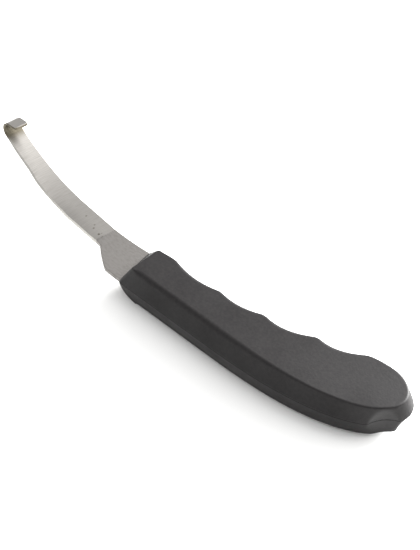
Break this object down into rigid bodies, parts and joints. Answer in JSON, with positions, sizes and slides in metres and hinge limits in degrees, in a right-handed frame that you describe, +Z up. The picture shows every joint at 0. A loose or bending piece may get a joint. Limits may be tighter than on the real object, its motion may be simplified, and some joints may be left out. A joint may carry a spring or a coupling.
{
  "type": "hoof knife",
  "caption": "Hoof knife with a bowed steel blade, curled tip and finger-grooved black plastic handle.",
  "frame": {"origin": "on the flat pad of the handle's underside, on the handle's centre line under the front of the grip", "axes": "+X along the handle to the blade's tip, +Y to the convex back of the handle, +Z up through the handle's thickness"},
  "size_m": [0.2082, 0.0364, 0.0302],
  "materials": {
    "blade_steel": "satin, ground across the blade",
    "handle_plastic": "matte, fine moulded grain",
    "pin_steel": "drawn wire"
  },
  "bodies": {
    "root": {"blade": "blade_steel", "handle_upper_shell": "handle_plastic", "handle_lower_shell": "handle_plastic", "tang_pin_front": "pin_steel", "tang_pin_rear": "pin_steel", "butt_dowel": "pin_steel"}
  },
  "joints": []
}
